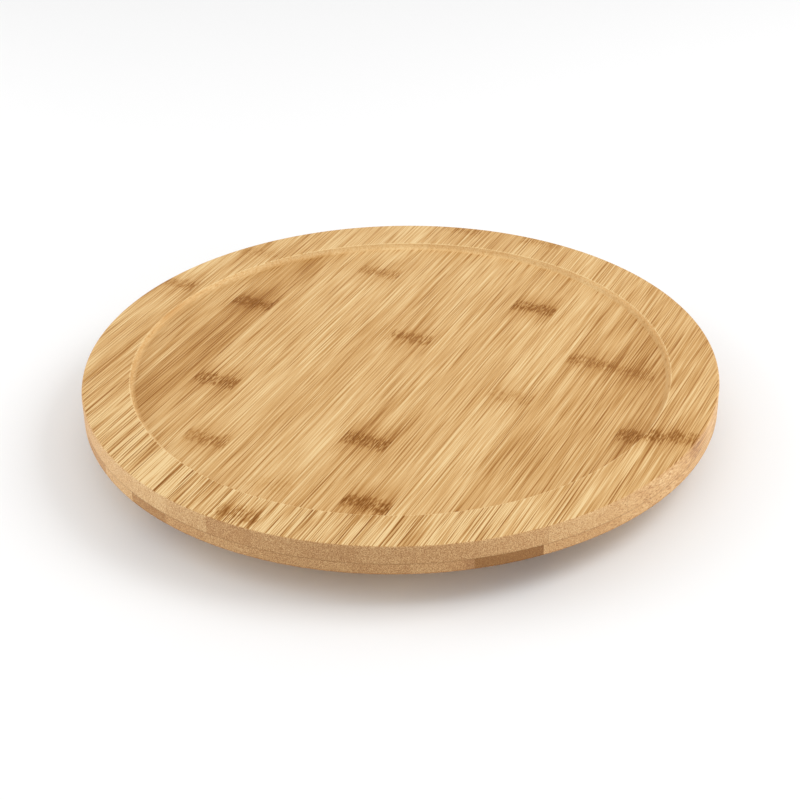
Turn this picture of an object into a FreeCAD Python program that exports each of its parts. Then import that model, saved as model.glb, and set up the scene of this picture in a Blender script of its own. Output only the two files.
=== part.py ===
"""Bamboo lazy susan: a round two-ply serving board that turns on an aluminium ball bearing over a small base.

Frame: millimetres, +Z up, origin on the table under the centre, strips of the bamboo along Y.
Stack from the table up: rubber feet, base disc, ball bearing, lower ply, upper ply.
Each ply is a row of strips glued edge to edge, and each strip is a piece of its own.
The outer bearing ring is screwed up into the board and turns with it; the inner ring is screwed to the base.
"""

import FreeCAD
import Part

import math
import os

Vector = FreeCAD.Vector
UP = Vector(0, 0, 1)
AXIS_POINT = Vector(0, 0, 0)

# Serving board: two bamboo plies glued face to face, with a routed recess in the upper one
BOARD_R = 175.0
UPPER_PLY_T = 10.0
LOWER_PLY_T = 6.5
RECESS_R = 148.75
RECESS_DEPTH = 3.2
RECESS_COVE = 2.5
RECESS_LIP = 0.5
BOARD_ARRIS = 1.0
EASE_FLATS = 3

# Bamboo strips of both plies: width, and the x of one seam in each ply
STRIP_W = 25.8
UPPER_SEAM_X = 3.9
LOWER_SEAM_X = 2.3

# Base disc and the height that the feet hold it off the table
BASE_R = 100.0
BASE_T = 8.0
BASE_ARRIS = 1.0
FOOT_STAND = 2.0

# Ball bearing: two aluminium rings with facing V-grooves, with steel balls and a nylon cage between them
BEARING_H = 8.5
RING_H = 7.5
RING_EDGE = 0.3
FLANGE_T = 2.2
BALL_COUNT = 16
BALL_R = 2.5
PITCH_R = 58.0
BALL_PLAY = 0.06
RING_GAP = 1.6
GROOVE_ROOT = 0.5
OUTER_BODY_R = 64.0
OUTER_FLANGE_R = 74.0
INNER_BODY_R = 51.5
INNER_FLANGE_R = 44.0
CAGE_T = 0.9
CAGE_H = 6.3
POCKET_PLAY = 0.12
POCKET_CUT = 2.7

# Plug that closes the hole where the balls are put in
FILL_HOLE_R = 2.7
FILL_ANGLE = 45.0
PLUG_INNER_R = 61.4
PLUG_OUTER_R = 63.7
SLOT_W = 0.8
SLOT_DEPTH = 0.9

# Rubber feet, let into the base
FOOT_R = 8.0
FOOT_TOE_R = 7.5
FOOT_SEAT = 3.0
FOOT_CIRCLE_R = 84.0
FOOT_ANGLE = 45.0
FOOT_WELL_R = 4.4
FOOT_WELL_DEPTH = 3.0
FOOT_ROUND = 0.6
WELL_EDGE = 0.3
WASHER_R = 4.0
WASHER_T = 0.6
WASHER_EDGE = 0.15

# Screws: thread and root radius, pitch, length overall, head radius and height,
# then the length of the tip and the radius that it is blunted to
BOARD_SCREW = {
    "thread": 2.0, "root": 1.45, "pitch": 1.5, "length": 12.0,
    "head": 3.5, "head_h": 1.6, "countersunk": True, "tip": 2.3, "tip_r": 0.2,
}
BASE_SCREW = {
    "thread": 2.0, "root": 1.65, "pitch": 0.7, "length": 9.5,
    "head": 3.8, "head_h": 1.8, "countersunk": True, "tip": 0.6, "tip_r": 1.15,
}
FOOT_SCREW = {
    "thread": 1.5, "root": 1.1, "pitch": 1.1, "length": 8.0,
    "head": 2.8, "head_h": 1.5, "countersunk": False, "tip": 1.8, "tip_r": 0.15,
}
BOARD_SCREW_CIRCLE_R = 69.0
BASE_SCREW_CIRCLE_R = 47.8
BASE_SCREW_SINK = 0.3
DRIVE_LENGTH = 3.4
DRIVE_WIDTH = 0.9
DRIVE_DEPTH = 1.1
HOLE_PLAY = 0.04
SET_OF = 4
THREAD_RUNOUT = 0.6
NECK_PLAY = 0.04
PAN_HEAD_ROUND = 0.5

# Heights, from the table up
BASE_BOTTOM = FOOT_STAND
BASE_TOP = BASE_BOTTOM + BASE_T
BOARD_BOTTOM = BASE_TOP + BEARING_H
PLY_JOINT = BOARD_BOTTOM + LOWER_PLY_T
BOARD_TOP = PLY_JOINT + UPPER_PLY_T
RECESS_FLOOR = BOARD_TOP - RECESS_DEPTH
BALL_Z = (BASE_TOP + BOARD_BOTTOM) / 2


def corner(before, at, after, radius):
    """Where a round of this radius leaves the two sides of a corner, and the point halfway along it."""
    a, b = (before - at).normalize(), (after - at).normalize()
    half = a.getAngle(b) / 2
    centre = at + (a + b).normalize() * (radius / math.sin(half))
    reach = radius / math.tan(half)
    return at + a * reach, centre + (at - centre).normalize() * radius, at + b * reach


def turned(outline):
    """Solid of revolution about Z. outline lists (radius, height, corner round) once round the section."""
    points = [Vector(r, 0, z) for r, z, _ in outline]
    starts, ends, edges = [], [], []
    for i, (_, _, rounding) in enumerate(outline):
        at = points[i]
        if rounding:
            start, middle, end = corner(points[i - 1], at, points[(i + 1) % len(points)], rounding)
            edges.append(Part.Arc(start, middle, end).toShape())
        else:
            start = end = at
        starts.append(start)
        ends.append(end)
    for i, start in enumerate(starts):
        if (start - ends[i - 1]).Length > 1e-6:
            edges.append(Part.LineSegment(ends[i - 1], start).toShape())
    wire = Part.Wire(Part.__sortEdges__(edges))
    return Part.Face(wire).revolve(AXIS_POINT, UP, 360)


def eased(r, z, inwards, upwards, radius):
    """Outline points of an edge sanded to narrow flats, from its upright side to its level one.

    inwards and upwards are 1 or -1, and point from the corner into the wood.
    """
    points = []
    for k in range(EASE_FLATS + 1):
        t = math.pi / 2 * k / EASE_FLATS
        back = radius * (1 - math.cos(t))
        along = radius * (1 - math.sin(t))
        points.append((r + inwards * back, z + upwards * along, 0))
    return points


def around(shape, angle):
    """Copy of a shape turned about the vertical axis, in degrees."""
    copy = shape.copy()
    copy.rotate(AXIS_POINT, UP, angle)
    return copy


def on_circle(shape, radius, angle):
    """Copy of a shape carried from the axis to a place on a circle, turned to face outwards."""
    copy = shape.copy()
    copy.translate(Vector(radius, 0, 0))
    return around(copy, angle)


def set_angles(first):
    """The angles of one set of four fasteners or feet."""
    return [first + 360.0 / SET_OF * k for k in range(SET_OF)]


def pin_hole(radius, low, high):
    """Cylinder about the axis between two heights, to be cut as a hole."""
    return Part.makeCylinder(radius, high - low, Vector(0, 0, low), UP)


def drive_cross(at_z):
    """Crossed slots of a screw head's drive, opening downwards at this height."""
    long_slot = Part.makeBox(DRIVE_LENGTH, DRIVE_WIDTH, DRIVE_DEPTH)
    long_slot.translate(Vector(-DRIVE_LENGTH / 2, -DRIVE_WIDTH / 2, at_z))
    return long_slot.fuse(around(long_slot, 90))


def thread_outline(screw, low, high):
    """Section points of a ridged shank from low to high, one ridge to each pitch."""
    turns = int((high - low) / screw["pitch"])
    points = []
    for k in range(turns):
        foot = low + k * screw["pitch"]
        points.append((screw["root"], foot, 0))
        points.append((screw["thread"], foot + screw["pitch"] / 2, 0))
    points.append((screw["root"], low + turns * screw["pitch"], 0))
    return points


def upright_screw(screw, head_z):
    """Screw about the axis, its head's outer face at head_z and its tip up."""
    tip_z = head_z + screw["length"]
    neck_z = head_z + screw["head_h"]
    outline = [(0, head_z, 0)]
    if screw["countersunk"]:
        outline += [(screw["head"], head_z, 0), (screw["thread"] - NECK_PLAY, neck_z, 0)]
    else:
        outline += [(screw["head"], head_z, PAN_HEAD_ROUND), (screw["head"], neck_z, 0)]
        outline.append((screw["root"], neck_z, 0))
    outline += thread_outline(screw, neck_z + THREAD_RUNOUT, tip_z - screw["tip"])
    outline += [(screw["tip_r"], tip_z, 0), (0, tip_z, 0)]
    return turned(outline).cut(drive_cross(head_z))


def screw_hole(screw, head_z):
    """What a screw of this kind needs cut away, from under its head face to just past its tip."""
    hole = pin_hole(screw["thread"] + HOLE_PLAY, head_z, head_z + screw["length"] + HOLE_PLAY)
    if not screw["countersunk"]:
        return hole
    wide = screw["head"] + HOLE_PLAY
    narrow = screw["thread"] + HOLE_PLAY
    cone = Part.makeCone(wide, narrow, screw["head_h"], Vector(0, 0, head_z), UP)
    return hole.fuse(cone)


def seams(one_seam):
    """The x of every seam across the board, with the board's two sides as first and last."""
    first = one_seam - STRIP_W * math.floor((one_seam + BOARD_R) / STRIP_W)
    count = math.floor((BOARD_R - first) / STRIP_W) + 1
    return [-BOARD_R, *[first + STRIP_W * k for k in range(count)], BOARD_R]


def strips(ply, one_seam):
    """The ply sawn along its seams, from -X to +X."""
    edges = seams(one_seam)
    box = ply.BoundBox
    for left, right in zip(edges, edges[1:]):
        slab = Part.makeBox(right - left, 2 * BOARD_R, box.ZLength, Vector(left, -BOARD_R, box.ZMin))
        yield ply.common(slab)


def board_screw_holes():
    """The four screw holes that run from the outer ring up into the board."""
    hole = screw_hole(BOARD_SCREW, BOARD_BOTTOM - FLANGE_T)
    return Part.makeCompound([on_circle(hole, BOARD_SCREW_CIRCLE_R, a) for a in set_angles(0)])


def upper_ply():
    outline = [
        (0, PLY_JOINT, 0),
        (BOARD_R, PLY_JOINT, 0),
        *eased(BOARD_R, BOARD_TOP, -1, -1, BOARD_ARRIS),
        *reversed(eased(RECESS_R, BOARD_TOP, 1, -1, RECESS_LIP)),
        (RECESS_R, RECESS_FLOOR, RECESS_COVE),
        (0, RECESS_FLOOR, 0),
    ]
    return turned(outline).cut(board_screw_holes())


def lower_ply():
    outline = [
        (0, BOARD_BOTTOM, 0),
        *reversed(eased(BOARD_R, BOARD_BOTTOM, -1, 1, BOARD_ARRIS)),
        (BOARD_R, PLY_JOINT, 0),
        (0, PLY_JOINT, 0),
    ]
    return turned(outline).cut(board_screw_holes())


def groove(face_r, outwards):
    """Section points of a V-groove in a ring's wall, from its lower lip to its upper lip."""
    root_r = PITCH_R + outwards * (BALL_R + BALL_PLAY) * math.sqrt(2)
    half_mouth = abs(root_r - face_r)
    flat_r = root_r - outwards * GROOVE_ROOT
    return [
        (face_r, BALL_Z - half_mouth, 0),
        (flat_r, BALL_Z - GROOVE_ROOT, 0),
        (flat_r, BALL_Z + GROOVE_ROOT, 0),
        (face_r, BALL_Z + half_mouth, 0),
    ]


def bearing_outer_ring():
    """Turns with the board. Its flange is at the top, with countersunk holes that open downwards."""
    face_r = PITCH_R + RING_GAP / 2
    low, high = BOARD_BOTTOM - RING_H, BOARD_BOTTOM
    outline = [
        (face_r, low, RING_EDGE),
        *groove(face_r, 1),
        (face_r, high, RING_EDGE),
        (OUTER_FLANGE_R, high, RING_EDGE),
        (OUTER_FLANGE_R, high - FLANGE_T, RING_EDGE),
        (OUTER_BODY_R, high - FLANGE_T, RING_EDGE),
        (OUTER_BODY_R, low, RING_EDGE),
    ]
    reach = OUTER_FLANGE_R - PITCH_R
    fill = Part.makeCylinder(FILL_HOLE_R, reach, Vector(PITCH_R, 0, BALL_Z), Vector(1, 0, 0))
    return turned(outline).cut(board_screw_holes()).cut(around(fill, FILL_ANGLE))


def bearing_inner_ring():
    """Stays with the base. Its flange is at the bottom, tapped for the base screws."""
    face_r = PITCH_R - RING_GAP / 2
    low, high = BASE_TOP, BASE_TOP + RING_H
    outline = [
        (face_r, high, RING_EDGE),
        *reversed(groove(face_r, -1)),
        (face_r, low, RING_EDGE),
        (INNER_FLANGE_R, low, RING_EDGE),
        (INNER_FLANGE_R, low + FLANGE_T, RING_EDGE),
        (INNER_BODY_R, low + FLANGE_T, RING_EDGE),
        (INNER_BODY_R, high, RING_EDGE),
    ]
    return turned(outline).cut(base_screw_holes())


def ball_cage():
    """Thin nylon band in the gap between the rings, with a round pocket for each ball."""
    low, high = BALL_Z - CAGE_H / 2, BALL_Z + CAGE_H / 2
    inner, outer = PITCH_R - CAGE_T / 2, PITCH_R + CAGE_T / 2
    band = turned([(inner, low, 0), (outer, low, 0), (outer, high, 0), (inner, high, 0)])
    start = Vector(PITCH_R - POCKET_CUT / 2, 0, BALL_Z)
    pocket = Part.makeCylinder(BALL_R + POCKET_PLAY, POCKET_CUT, start, Vector(1, 0, 0))
    return band.cut(Part.makeCompound([around(pocket, a) for a in ball_angles()]))


def ball_angles():
    return [360.0 / BALL_COUNT * k for k in range(BALL_COUNT)]


def ball(angle):
    return around(Part.makeSphere(BALL_R, Vector(PITCH_R, 0, BALL_Z)), angle)


def fill_plug():
    """Short slotted plug, screwed in from outside after the last ball."""
    length = PLUG_OUTER_R - PLUG_INNER_R
    body = Part.makeCylinder(
        FILL_HOLE_R - HOLE_PLAY, length, Vector(PLUG_INNER_R, 0, BALL_Z), Vector(1, 0, 0)
    )
    slot = Part.makeBox(SLOT_DEPTH, 2 * FILL_HOLE_R, SLOT_W)
    slot.translate(Vector(PLUG_OUTER_R - SLOT_DEPTH, -FILL_HOLE_R, BALL_Z - SLOT_W / 2))
    return around(body.cut(slot), FILL_ANGLE)


def base_screw_holes():
    hole = screw_hole(BASE_SCREW, BASE_BOTTOM + BASE_SCREW_SINK)
    sink = pin_hole(BASE_SCREW["head"] + HOLE_PLAY, BASE_BOTTOM, BASE_BOTTOM + BASE_SCREW_SINK)
    tapped = pin_hole(BASE_SCREW["thread"] + HOLE_PLAY, BASE_TOP, BASE_TOP + FLANGE_T)
    cut = hole.fuse(sink).fuse(tapped)
    return Part.makeCompound([on_circle(cut, BASE_SCREW_CIRCLE_R, a) for a in set_angles(0)])


def foot_seats():
    """Round sockets in the base's underside, each with the hole that its foot screw cuts."""
    seat = pin_hole(FOOT_R + HOLE_PLAY, BASE_BOTTOM, BASE_BOTTOM + FOOT_SEAT)
    cut = seat.fuse(screw_hole(FOOT_SCREW, foot_screw_z()))
    return Part.makeCompound([on_circle(cut, FOOT_CIRCLE_R, a) for a in set_angles(FOOT_ANGLE)])


def base_disc():
    outline = [
        (0, BASE_BOTTOM, 0),
        (BASE_R, BASE_BOTTOM, BASE_ARRIS),
        (BASE_R, BASE_TOP, BASE_ARRIS),
        (0, BASE_TOP, 0),
    ]
    return turned(outline).cut(base_screw_holes()).cut(foot_seats())


def foot():
    """Rubber bumper about the axis, with a well underneath for the screw's head and washer."""
    top = BASE_BOTTOM + FOOT_SEAT
    bore = FOOT_SCREW["thread"] + HOLE_PLAY
    return turned([
        (FOOT_WELL_R, 0, WELL_EDGE),
        (FOOT_TOE_R, 0, FOOT_ROUND),
        (FOOT_R, BASE_BOTTOM, 0),
        (FOOT_R, top, 0),
        (bore, top, 0),
        (bore, FOOT_WELL_DEPTH, 0),
        (FOOT_WELL_R, FOOT_WELL_DEPTH, 0),
    ])


def foot_screw_z():
    """Height of a foot screw's head face, inside the foot's well."""
    return FOOT_WELL_DEPTH - WASHER_T - FOOT_SCREW["head_h"]


def foot_washer():
    bore = FOOT_SCREW["thread"] + HOLE_PLAY
    low = FOOT_WELL_DEPTH - WASHER_T
    high = FOOT_WELL_DEPTH
    return turned([(bore, low, 0), (WASHER_R, low, WASHER_EDGE), (WASHER_R, high, 0), (bore, high, 0)])


def group(piece, radius, first_angle):
    """The four copies of one fastener, as separate solids of one node."""
    return Part.makeCompound([on_circle(piece, radius, a) for a in set_angles(first_angle)])


def all_nodes():
    """Name and shape of every node."""
    for name, ply, one_seam in (("upper", upper_ply(), UPPER_SEAM_X), ("lower", lower_ply(), LOWER_SEAM_X)):
        for number, strip in enumerate(strips(ply, one_seam), 1):
            yield f"{name}_strip_{number:02d}", strip
    yield "bearing_outer_ring", bearing_outer_ring()
    yield "bearing_inner_ring", bearing_inner_ring()
    yield "ball_cage", ball_cage()
    for number, angle in enumerate(ball_angles(), 1):
        yield f"ball_{number:02d}", ball(angle)
    yield "fill_plug", fill_plug()
    yield "base_disc", base_disc()
    for number, angle in enumerate(set_angles(FOOT_ANGLE), 1):
        yield f"foot_{number}", on_circle(foot(), FOOT_CIRCLE_R, angle)
    board_screw = upright_screw(BOARD_SCREW, BOARD_BOTTOM - FLANGE_T)
    base_screw = upright_screw(BASE_SCREW, BASE_BOTTOM + BASE_SCREW_SINK)
    foot_screw = upright_screw(FOOT_SCREW, foot_screw_z())
    yield "board_screws", group(board_screw, BOARD_SCREW_CIRCLE_R, 0)
    yield "base_screws", group(base_screw, BASE_SCREW_CIRCLE_R, 0)
    yield "foot_screws", group(foot_screw, FOOT_CIRCLE_R, FOOT_ANGLE)
    yield "foot_washers", group(foot_washer(), FOOT_CIRCLE_R, FOOT_ANGLE)


def main():
    os.makedirs("parts", exist_ok=True)
    for name, shape in all_nodes():
        print(f"{name}: {len(shape.Solids)} solid, {shape.Volume:.1f} mm3, valid {shape.isValid()}")
        shape.exportStep(os.path.join("parts", name + ".step"))


main()
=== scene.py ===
"""Looks of the bamboo lazy susan: materials, camera, light and floor around the fixed frame.

Lengths are metres in the frame's own coordinates: +Z up, strips along Y, and the origin on the table under
the centre. Darkness, or tone, is a number that TONES turns into a colour.
"""

import math

import bpy
from mathutils import Matrix, Vector


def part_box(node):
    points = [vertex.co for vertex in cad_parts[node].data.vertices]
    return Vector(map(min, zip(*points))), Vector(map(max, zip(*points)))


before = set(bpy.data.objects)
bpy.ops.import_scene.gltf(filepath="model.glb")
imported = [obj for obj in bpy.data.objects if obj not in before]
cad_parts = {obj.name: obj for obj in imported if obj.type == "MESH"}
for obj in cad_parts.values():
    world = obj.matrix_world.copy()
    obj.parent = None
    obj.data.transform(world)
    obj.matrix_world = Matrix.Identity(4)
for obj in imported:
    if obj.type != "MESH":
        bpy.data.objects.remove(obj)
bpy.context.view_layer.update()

MM = 0.001

# Where things are, read from the frame
TOP_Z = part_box("upper_strip_07")[1][2]
PLY_JOINT_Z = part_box("lower_strip_07")[1][2]
UPPER_SEAM_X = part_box("upper_strip_08")[0][0]
LOWER_SEAM_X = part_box("lower_strip_08")[0][0]
STRIP_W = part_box("upper_strip_08")[1][0] - UPPER_SEAM_X
BOARD_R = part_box("upper_strip_14")[1][0]
BOARD_BOTTOM_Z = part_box("lower_strip_07")[0][2]
BASE_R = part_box("base_disc")[1][0]

# The recess, with sizes that repeat the part's: the radius of its wall, the cove at its foot and the flat on
# its lip. Then how far the looks of the rim, the cove and the lip reach as they fade
RECESS_R = 148.75 * MM
RECESS_COVE = 2.5 * MM
RECESS_LIP = 0.5 * MM
RIM_FADE = 2 * MM
COVE_FADE = (0.4 * RECESS_COVE, 0.7 * RECESS_COVE)
LIP_FADE = 1.2 * RECESS_LIP

# Camera: compass angle, height and roll of the view in degrees, where the centre of the board's top sits in
# the view, and the lens
VIEW_AZIMUTH = 26.0
VIEW_ELEVATION = 31.1
VIEW_ROLL = 1.1
CENTRE_RIGHT = 0.0 * MM
CENTRE_DOWN = -21.2 * MM
CENTRE_AWAY = 989.6 * MM
LENS_MM = 80.3

# Colours, linear RGB
PALE = (0.79, 0.573, 0.289)
STRAW = (0.66, 0.406, 0.168)
HONEY = (0.505, 0.268, 0.085)
TOFFEE = (0.34, 0.145, 0.032)
KNUCKLE = (0.205, 0.068, 0.004)
GLUE = (0.20, 0.09, 0.03)
DARK_PLY = (0.17, 0.068, 0.008)
END_GREY = (0.55, 0.36, 0.24)

# Colour at each darkness: most wood lies between 0 and 1, and knuckles and the darkest strip go on to DARKEST
DARKEST = 1.6
TONES = ((0.0, PALE), (0.33, STRAW), (0.66, HONEY), (1.0, TOFFEE), (DARKEST, KNUCKLE))

# Sizes of the bamboo's figure: how wide, long and deep one feature is
FIBRE = (0.95 * MM, 95 * MM, 0.95 * MM)
HAIR = (0.5 * MM, 40 * MM, 0.5 * MM)
PORE = (0.8 * MM, 70 * MM, 0.8 * MM)
END_DOTS = (0.55 * MM, 0.55 * MM, 0.4 * MM)
STREAK = (4 * MM, 260 * MM, 5 * MM)
VESSEL = (0.9 * MM, 55 * MM, 0.9 * MM)
MOTTLE = (35 * MM, 60 * MM, 35 * MM)
FRAY = (0.75 * MM, 9 * MM, 0.75 * MM)
BLOTCH = (0.75 * MM, 4 * MM, 0.75 * MM)
WANDER = (7 * MM, 7 * MM, 7 * MM)

# The stretch of each noise's values that takes the figure from none to full
FINE_RANGE = (0.36, 0.64)
PORE_RANGE = (0.53, 0.66)
STREAK_RANGE = (0.34, 0.66)
BLOTCH_RANGE = (0.38, 0.60)
BLOTCH_LEAST = 0.1
VESSEL_EDGE = (0.12, 0.34)

# How much darker each figure makes the wood
FIBRE_DARKER = 0.17
HAIR_DARKER = 0.40
PORE_DARKER = 0.38
VESSEL_DARKER = 0.20
STREAK_DARKER = 0.14
MOTTLE_DARKER = 0.25
DOTS_DARKER = 0.78

# Glue: half the width over which a seam and a ply joint show, and how strongly
SEAM_HALF = 0.14 * MM
SEAM_STRENGTH = 0.22
GLUE_HALF = 0.6 * MM
GLUE_STRENGTH = 0.35

# The surface of the wood: how deep its relief is, how strong, how rough and how glossy
RELIEF = 0.05 * MM
RELIEF_STRENGTH = 0.6
SATIN = (0.42, 0.56)
GLOSS = 0.1

# A knuckle: where its dark core and the brown halo along its fibres start to fade and end, how much darker
# they are, and how far their edges fray and wander
CORE = (2 * MM, 8 * MM)
HALO = (3 * MM, 24 * MM)
CORE_DARKER = 0.78
HALO_DARKER = 0.27
FRAY_REACH = 15 * MM
WANDER_REACH = 4 * MM

# The outer wall: how deep its skin is taken to be, where along the board its end grain sets in as a share of
# the radius, how far that hides the lengthways figure, how grey the wall is, and the height and strength of
# the painted shade, a darker line along its lower arris
WALL_SKIN = (0.9 * MM, 0.3 * MM)
END_FROM = (0.25, 0.70)
END_SOFTER = 0.8
WALL_GREYER = 0.25
ARRIS_SHADE_HEIGHT = 1.6 * MM
ARRIS_SHADE_DARKER = 0.5

# The recess's edge: how much paler the painted light makes its cove and the painted highlight makes its lip,
# and how far the cove's figure is softened
COVE_PAINTED_LIGHT = 0.14
LIP_PAINTED_HIGHLIGHT = 0.30
COVE_SOFTER = 0.6

# How much stronger the figure is on the rim: at the front, then behind this line across the board
RIM_CRISPER = (1.1, 0.1)
CRISP_BEHIND = -60 * MM

# Upper strips from -X to +X: darkness of the rim at its front and at its back, of the floor and of the
# outer wall, whose darkness holds painted shade as well as the wood's own tone, then knuckles as (y in mm,
# strength)
UPPER_STRIPS = [
    (0.39, 0.37, 0.42, 0.45, [(32, 0.6)]),
    (0.60, 0.30, 0.50, 0.61, [(88, 0.3)]),
    (0.32, 0.37, 0.66, 0.45, [(33.5, 0.85)]),
    (0.33, 0.34, 0.43, 0.38, [(-53.5, 0.9)]),
    (0.20, 0.34, 0.35, 0.30, [(99, 0.5), (-108, 0.6)]),
    (0.52, 0.40, 0.43, 0.44, [(168, 0.4)]),
    (0.38, 0.44, 0.40, 0.56, [(32, 0.65), (-133, 0.15), (-166, 0.75)]),
    (0.47, 0.36, 0.44, 0.64, [(-76.5, 0.85), (171, 0.4)]),
    (0.51, 0.38, 0.46, 0.70, [(94, 0.9), (-128.5, 1.0)]),
    (0.46, 0.36, 0.35, 0.63, [(-5, 0.3)]),
    (0.26, 0.47, 0.51, 0.67, [(47, 0.6)]),
    (0.43, 0.52, 0.56, 0.62, [(46, 0.4)]),
    (0.37, 0.51, 0.57, 0.46, [(-16.5, 0.9)]),
    (0.33, 0.58, 0.46, 0.46, [(-12, 0.75)]),
]

# Lower strips from -X to +X: darkness of the underside and of the outer wall, whose darkness holds painted
# shade as well as the wood's own tone, then the share of the steamed bamboo's colour
LOWER_STRIPS = [
    (0.35, 0.50, 0.0), (0.42, 0.56, 0.0), (0.30, 0.85, 0.0), (0.38, 0.48, 0.0), (0.90, 0.85, 0.20),
    (0.34, 0.70, 0.0), (0.45, 0.60, 0.0), (0.36, 0.66, 0.0), (0.40, 0.66, 0.0), (0.30, 0.78, 0.0),
    (0.42, 0.57, 0.0), (0.95, 1.15, 0.45), (0.38, 0.62, 0.0), (0.34, 0.53, 0.0),
]
LOWER_KNUCKLE_STEP = 67
LOWER_KNUCKLE_STRENGTH = 0.6
BOARD_HALF_MM = round(BOARD_R / MM)
BASE_TONES = (0.35, 0.35, 0.35, 0.5)

# Seeds: each piece of bamboo has a number, and its noises start that many steps along
SEED_STEP = 7.31
LOWER_SEED = 20
BASE_SEED = 50

# Metal, nylon and rubber: the stretch of a noise's values over which their roughness changes, then how far
# apart the aluminium's rings are and how large its clouds
CLOUD_RANGE = (0.3, 0.7)
RING_STEP = 0.25 * MM
ALUMINIUM_CLOUD = (9 * MM, 9 * MM, 9 * MM)

# Soft square lamps that face the board: name, place, size and power
LAMPS = (
    ("key", (0.9, 0.5, 1.1), 0.8, 8.5),
    ("fill", (-1.1, -0.4, 0.7), 0.9, 4.0),
    ("low_left", (-1.3, -0.55, 0.22), 0.5, 5.5),
    ("low_right", (1.35, 0.15, 0.22), 0.5, 5.0),
)
SKY_STRENGTH = 0.75
FLOOR_SIZE = 12.0


class Graph:
    """A material being built. The methods from maths to mix each add a step and return its output socket."""

    def __init__(self, name):
        self.material = bpy.data.materials.new(name)
        self.material.use_nodes = True
        self.tree = self.material.node_tree
        self.shader = self.tree.nodes["Principled BSDF"]
        self.coords = self.add("ShaderNodeTexCoord").outputs["Object"]

    def add(self, kind, **settings):
        node = self.tree.nodes.new(kind)
        for key, value in settings.items():
            setattr(node, key, value)
        return node

    def feed(self, socket, value):
        if isinstance(value, bpy.types.NodeSocket):
            self.tree.links.new(value, socket)
        else:
            socket.default_value = value

    def maths(self, operation, *values, clamp=False):
        node = self.add("ShaderNodeMath", operation=operation, use_clamp=clamp)
        for socket, value in zip(node.inputs, values):
            self.feed(socket, value)
        return node.outputs[0]

    def axes(self):
        node = self.add("ShaderNodeSeparateXYZ")
        self.feed(node.inputs[0], self.coords)
        return node.outputs

    def stretched(self, size, offset=0.0):
        """Coordinates in which a feature of this size is one unit across."""
        node = self.add("ShaderNodeMapping")
        self.feed(node.inputs["Vector"], self.coords)
        node.inputs["Scale"].default_value = [1 / s for s in size]
        node.inputs["Location"].default_value = (offset, offset * 1.7, offset * 0.6)
        return node.outputs[0]

    def noise(self, size, offset=0.0, detail=3.0):
        node = self.add("ShaderNodeTexNoise")
        self.feed(node.inputs["Vector"], self.stretched(size, offset))
        node.inputs["Scale"].default_value = 1.0
        node.inputs["Detail"].default_value = detail
        return node.outputs["Fac"]

    def cells(self, size, offset=0.0):
        node = self.add("ShaderNodeTexVoronoi")
        self.feed(node.inputs["Vector"], self.stretched(size, offset))
        node.inputs["Scale"].default_value = 1.0
        return node.outputs["Distance"]

    def ramp(self, value, low, high, to_low=0.0, to_high=1.0):
        node = self.add("ShaderNodeMapRange", interpolation_type="SMOOTHSTEP")
        for socket, item in zip(node.inputs, (value, low, high, to_low, to_high)):
            self.feed(socket, item)
        return node.outputs[0]

    def near(self, value, place, low, high, strength=1.0):
        """Full strength within low of a place, fading to nothing at high."""
        away = self.maths("ABSOLUTE", self.maths("SUBTRACT", value, place))
        return self.ramp(away, low, high, strength, 0.0)

    def toned(self, value, stops):
        """Colour read from a row of (place, colour) stops. value is a share of the last place."""
        node = self.add("ShaderNodeValToRGB")
        self.feed(node.inputs[0], value)
        row = node.color_ramp.elements
        row.remove(row[1])
        row[0].position, row[0].color = 0.0, (*stops[0][1], 1.0)
        for place, colour in stops[1:]:
            row.new(place / stops[-1][0]).color = (*colour, 1.0)
        return node.outputs[0]

    def mix(self, amount, first, second):
        node = self.add("ShaderNodeMix", data_type="RGBA")
        self.feed(node.inputs[0], amount)
        for socket, colour in ((node.inputs[6], first), (node.inputs[7], second)):
            self.feed(socket, colour if isinstance(colour, bpy.types.NodeSocket) else (*colour, 1.0))
        return node.outputs[2]

    def bump(self, height, distance, strength=1.0):
        node = self.add("ShaderNodeBump")
        node.inputs["Strength"].default_value = strength
        node.inputs["Distance"].default_value = distance
        self.feed(node.inputs["Height"], height)
        self.feed(self.shader.inputs["Normal"], node.outputs[0])

    def surface(self, **sockets):
        for name, value in sockets.items():
            self.feed(self.shader.inputs[name.replace("_", " ")], value)
        return self.material


def knuckle_masks(g, y, offset, knuckles):
    """(dark core, brown halo) of a strip's knuckles, both frayed along the fibres."""
    wander = g.maths("SUBTRACT", g.noise(WANDER, offset), 0.5)
    wander = g.maths("MULTIPLY", wander, WANDER_REACH)
    fray = g.maths("SUBTRACT", g.noise(FRAY, offset + 2.0, detail=4.0), 0.5)
    fray = g.maths("MULTIPLY", fray, FRAY_REACH)
    frayed = g.maths("ADD", y, g.maths("ADD", wander, fray))
    core = halo = 0.0
    for place, strength in knuckles:
        core = g.maths("MAXIMUM", core, g.near(frayed, place * MM, *CORE, CORE_DARKER * strength))
        halo = g.maths("MAXIMUM", halo, g.near(frayed, place * MM, *HALO, HALO_DARKER * strength))
    return core, halo


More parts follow.
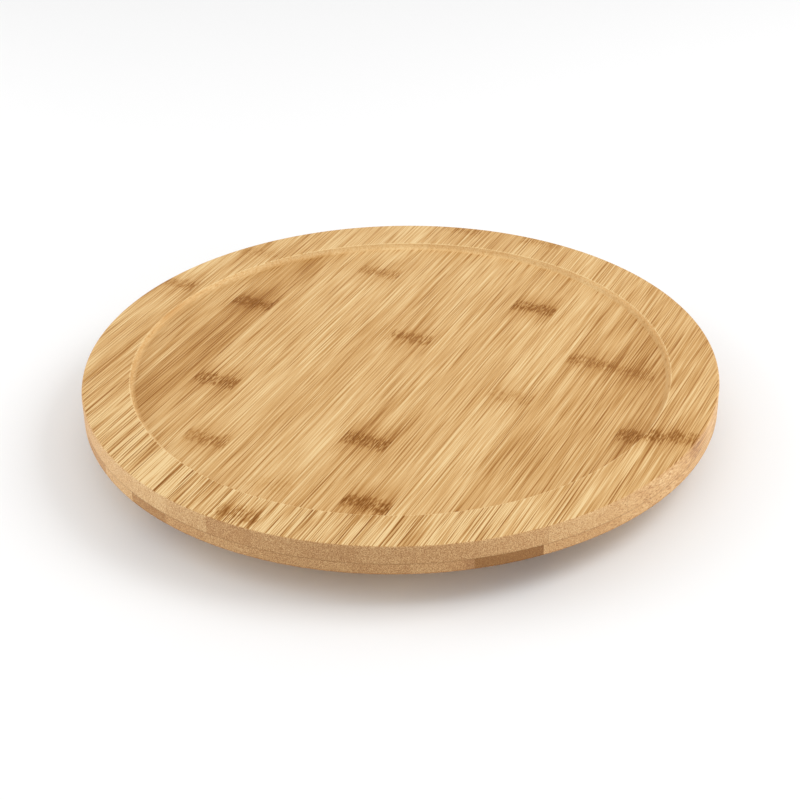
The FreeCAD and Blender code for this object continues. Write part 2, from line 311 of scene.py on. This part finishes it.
def bamboo(name, seed, seam_x, tones, knuckles, outer_r=BOARD_R, darker=0.0):
    """Strips of bamboo, with a seam at every strip width from seam_x.

    The fibres run along Y, and show as fine dots where they are cut across.

    tones are the darkness of its rim at the front and at the back, of its floor, and of its outer wall, which
    for the board's strips holds painted shade as well as the wood's own tone.
    darker is the share of steamed bamboo's colour laid over it, which takes as much off the wall's grey.
    """
    g = Graph(name)
    x, y, z = g.axes()
    offset = seed * SEED_STEP
    front, back, floor, side = tones

    radius = g.maths("SQRT", g.maths("ADD", g.maths("MULTIPLY", x, x), g.maths("MULTIPLY", y, y)))
    upper = g.maths("GREATER_THAN", z, PLY_JOINT_Z)
    at_rim = g.maths("MULTIPLY", upper, g.ramp(radius, RECESS_R - RIM_FADE, RECESS_R))
    # the cove's mask: it softens the figure there and paints light into the cove, lifting its shade
    cove = g.maths("MULTIPLY", upper, g.near(radius, RECESS_R - RECESS_COVE / 2, *COVE_FADE))
    # painted highlight: a pale line along the recess's lip
    lip_highlight = g.maths("MULTIPLY", upper, g.near(radius, RECESS_R + RECESS_LIP / 2, 0.0, LIP_FADE))
    wall = g.ramp(g.maths("SUBTRACT", outer_r, radius), *WALL_SKIN)
    end_grain = g.ramp(g.maths("ABSOLUTE", y), *(share * outer_r for share in END_FROM))
    end_grain = g.maths("MULTIPLY", wall, end_grain)
    rim = g.ramp(y, -outer_r, outer_r, front - floor, back - floor)
    tone = g.maths("ADD", floor, g.maths("MULTIPLY", at_rim, rim))
    # the outer wall takes its own darkness, which for the board's strips holds painted shade as well as the
    # wood's own tone
    tone = g.maths("ADD", tone, g.maths("MULTIPLY", wall, g.maths("SUBTRACT", side, tone)))

    softer = g.maths("MULTIPLY", end_grain, END_SOFTER)
    softer = g.maths("ADD", softer, g.maths("MULTIPLY", cove, COVE_SOFTER))
    crisper = g.maths("MULTIPLY", at_rim, g.ramp(y, -BOARD_R, CRISP_BEHIND, *RIM_CRISPER))
    crispness = g.maths("MULTIPLY", g.maths("SUBTRACT", 1.0, softer), g.maths("ADD", 1.0, crisper))
    fibre = g.ramp(g.noise(FIBRE, offset, detail=2.0), *FINE_RANGE)
    hair = g.ramp(g.noise(HAIR, offset + 1.0, detail=2.0), *FINE_RANGE)
    pore = g.ramp(g.noise(PORE, offset + 8.0, detail=1.0), *PORE_RANGE)
    streak = g.ramp(g.noise(STREAK, offset + 3.0), *STREAK_RANGE)
    mottle = g.noise(MOTTLE, offset + 5.0, detail=2.0)
    dots = g.ramp(g.noise(END_DOTS, offset + 6.0, detail=2.0), *FINE_RANGE)
    vessel = g.ramp(g.cells(VESSEL, offset), *VESSEL_EDGE, 1.0, 0.0)
    # painted shade: the wall is darker in a thin band along its lower arris, at the board's bottom
    arris_shade = g.near(z, BOARD_BOTTOM_Z, 0.0, ARRIS_SHADE_HEIGHT)
    # each figure, its value that changes nothing, how much darker it makes the wood, and where it is seen;
    # the arris row is painted shade and the cove and lip rows are painted light, not figure
    figures = (
        (fibre, 0.5, FIBRE_DARKER, crispness), (hair, 0.5, HAIR_DARKER, crispness),
        (pore, 0.25, PORE_DARKER, crispness), (vessel, 0.0, VESSEL_DARKER, crispness),
        (streak, 0.5, STREAK_DARKER, crispness), (mottle, 0.5, MOTTLE_DARKER, 1.0),
        (dots, 0.5, DOTS_DARKER, end_grain), (arris_shade, 0.0, ARRIS_SHADE_DARKER, wall),
        # painted light in the cove and a painted highlight on the lip, both making the wood paler
        (cove, 0.0, -COVE_PAINTED_LIGHT, 1.0), (lip_highlight, 0.0, -LIP_PAINTED_HIGHLIGHT, 1.0),
    )
    for figure, middle, weight, amount in figures:
        swing = g.maths("MULTIPLY", g.maths("SUBTRACT", figure, middle), weight)
        tone = g.maths("ADD", tone, g.maths("MULTIPLY", swing, amount))
    core, halo = knuckle_masks(g, y, offset, knuckles)
    blotch = g.ramp(g.noise(BLOTCH, offset + 4.0, detail=4.0), *BLOTCH_RANGE, BLOTCH_LEAST, 1.0)
    tone = g.maths("ADD", tone, g.maths("ADD", halo, g.maths("MULTIPLY", core, blotch)))
    colour = g.toned(g.maths("DIVIDE", tone, DARKEST, clamp=True), TONES)
    colour = g.mix(darker, colour, DARK_PLY)
    colour = g.mix(g.maths("MULTIPLY", wall, WALL_GREYER * (1 - darker)), colour, END_GREY)

    across = g.maths("PINGPONG", g.maths("SUBTRACT", x, seam_x), STRIP_W / 2)
    seam = g.ramp(across, 0.0, SEAM_HALF, SEAM_STRENGTH, 0.0)
    glue = g.near(z, PLY_JOINT_Z, 0.0, GLUE_HALF, GLUE_STRENGTH)
    colour = g.mix(g.maths("MAXIMUM", seam, glue), colour, GLUE)

    relief = g.maths("SUBTRACT", g.maths("ADD", fibre, hair), g.maths("ADD", pore, vessel))
    g.bump(g.maths("SUBTRACT", relief, seam), RELIEF, RELIEF_STRENGTH)
    roughness = g.ramp(fibre, 0.0, 1.0, *SATIN)
    return g.surface(Base_Color=colour, Roughness=roughness, Specular_IOR_Level=GLOSS)


def turned_aluminium():
    """Mill finish with the fine rings that a lathe leaves."""
    g = Graph("turned_aluminium")
    x, y, z = g.axes()
    radius = g.maths("SQRT", g.maths("ADD", g.maths("POWER", x, 2.0), g.maths("POWER", y, 2.0)))
    rings = g.add("ShaderNodeTexNoise", noise_dimensions="1D")
    g.feed(rings.inputs["W"], g.maths("MULTIPLY", g.maths("ADD", radius, z), 1 / RING_STEP))
    rings.inputs["Scale"].default_value = 1.0
    cloud = g.noise(ALUMINIUM_CLOUD)
    g.bump(rings.outputs["Fac"], 0.02 * MM, 0.4)
    colour = g.mix(cloud, (0.62, 0.63, 0.64), (0.78, 0.79, 0.80))
    return g.surface(Base_Color=colour, Metallic=1.0, Roughness=g.ramp(cloud, *CLOUD_RANGE, 0.26, 0.40))


def steel(name, low, high, rough, grain):
    """Plain steel, with its finish set by two greys, two roughnesses and the size of its grain."""
    g = Graph(name)
    cloud = g.noise((grain,) * 3, detail=4.0)
    g.bump(cloud, 0.01 * MM, 0.3)
    roughness = g.ramp(cloud, *CLOUD_RANGE, *rough)
    return g.surface(Base_Color=g.mix(cloud, low, high), Metallic=1.0, Roughness=roughness)


def matt(name, low, high, rough, grain, relief):
    """Nylon or rubber: a mottled colour over a fine moulded texture."""
    g = Graph(name)
    speck = g.noise((grain,) * 3, detail=5.0)
    cloud = g.noise((12 * grain,) * 3)
    g.bump(speck, relief, 0.6)
    roughness = g.ramp(speck, *CLOUD_RANGE, *rough)
    return g.surface(Base_Color=g.mix(cloud, low, high), Roughness=roughness)


def give(node, material):
    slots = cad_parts[node].data.materials
    slots.clear()
    slots.append(material)


def dress_board():
    for number, (*tones, knuckles) in enumerate(UPPER_STRIPS, 1):
        name = f"upper_strip_{number:02d}"
        give(name, bamboo(f"bamboo_{name}", number, UPPER_SEAM_X, tones, knuckles))
    for number, (under, side, darker) in enumerate(LOWER_STRIPS, 1):
        name = f"lower_strip_{number:02d}"
        first = (number * LOWER_KNUCKLE_STEP) % (2 * BOARD_HALF_MM) - BOARD_HALF_MM
        tones = (under, under, under, side)
        knuckles = [(first, LOWER_KNUCKLE_STRENGTH)]
        seed = number + LOWER_SEED
        give(name, bamboo(f"bamboo_{name}", seed, LOWER_SEAM_X, tones, knuckles, darker=darker))


def dress_underworks():
    give("base_disc", bamboo("bamboo_base_disc", BASE_SEED, UPPER_SEAM_X, BASE_TONES, [], BASE_R))
    aluminium = turned_aluminium()
    ball_steel = steel("polished_steel", (0.60, 0.61, 0.63), (0.72, 0.73, 0.75), (0.08, 0.15), 2 * MM)
    zinc = steel("zinc_plate", (0.48, 0.49, 0.51), (0.66, 0.67, 0.68), (0.28, 0.42), 1.2 * MM)
    nylon = matt("natural_nylon", (0.68, 0.65, 0.56), (0.78, 0.76, 0.68), (0.42, 0.55), 0.5 * MM, 0.01 * MM)
    black, worn_black = (0.012, 0.012, 0.012), (0.028, 0.027, 0.026)
    rubber = matt("black_rubber", black, worn_black, (0.62, 0.8), 0.4 * MM, 0.03 * MM)
    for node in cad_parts:
        if node.startswith("ball_") and node != "ball_cage":
            give(node, ball_steel)
        elif node.startswith("bearing_"):
            give(node, aluminium)
        elif node in ("fill_plug", "board_screws", "base_screws", "foot_screws", "foot_washers"):
            give(node, zinc)
        elif node.startswith("foot_"):
            give(node, rubber)
    give("ball_cage", nylon)


def add_camera():
    azimuth, elevation = math.radians(VIEW_AZIMUTH), math.radians(VIEW_ELEVATION)
    ahead = Vector((
        -math.sin(azimuth) * math.cos(elevation),
        math.cos(azimuth) * math.cos(elevation),
        -math.sin(elevation),
    ))
    level = Vector((math.cos(azimuth), math.sin(azimuth), 0.0))
    turn = Matrix.Rotation(math.radians(VIEW_ROLL), 3, ahead)
    right = turn @ level
    down = ahead.cross(right)
    centre = Vector((0.0, 0.0, TOP_Z))
    place = centre - right * CENTRE_RIGHT - down * CENTRE_DOWN - ahead * CENTRE_AWAY
    data = bpy.data.cameras.new("camera")
    data.lens = LENS_MM
    camera = bpy.data.objects.new("camera", data)
    bpy.context.scene.collection.objects.link(camera)
    facing = Matrix((right, -down, -ahead)).transposed()
    camera.matrix_world = Matrix.Translation(place) @ facing.to_4x4()
    bpy.context.scene.camera = camera


def add_light(name, place, size, power):
    """Soft square lamp that faces the board."""
    data = bpy.data.lights.new(name, "AREA")
    data.size = size
    data.energy = power
    lamp = bpy.data.objects.new(name, data)
    bpy.context.scene.collection.objects.link(lamp)
    lamp.location = place
    lamp.rotation_euler = (Vector((0.0, 0.0, TOP_Z)) - Vector(place)).to_track_quat("-Z", "Y").to_euler()


def add_floor():
    bpy.ops.mesh.primitive_plane_add(size=FLOOR_SIZE)
    floor = bpy.context.object
    floor.name = "floor"
    g = Graph("pale_floor")
    floor.data.materials.append(g.surface(Base_Color=(0.9, 0.9, 0.9, 1.0), Roughness=0.7))


def add_surroundings():
    world = bpy.data.worlds.new("studio")
    world.use_nodes = True
    background = world.node_tree.nodes["Background"]
    background.inputs["Color"].default_value = (1.0, 1.0, 1.0, 1.0)
    background.inputs["Strength"].default_value = SKY_STRENGTH
    bpy.context.scene.world = world
    bpy.context.scene.view_settings.view_transform = "Standard"
    for lamp in LAMPS:
        add_light(*lamp)
    add_floor()


dress_board()
dress_underworks()
add_camera()
add_surroundings()
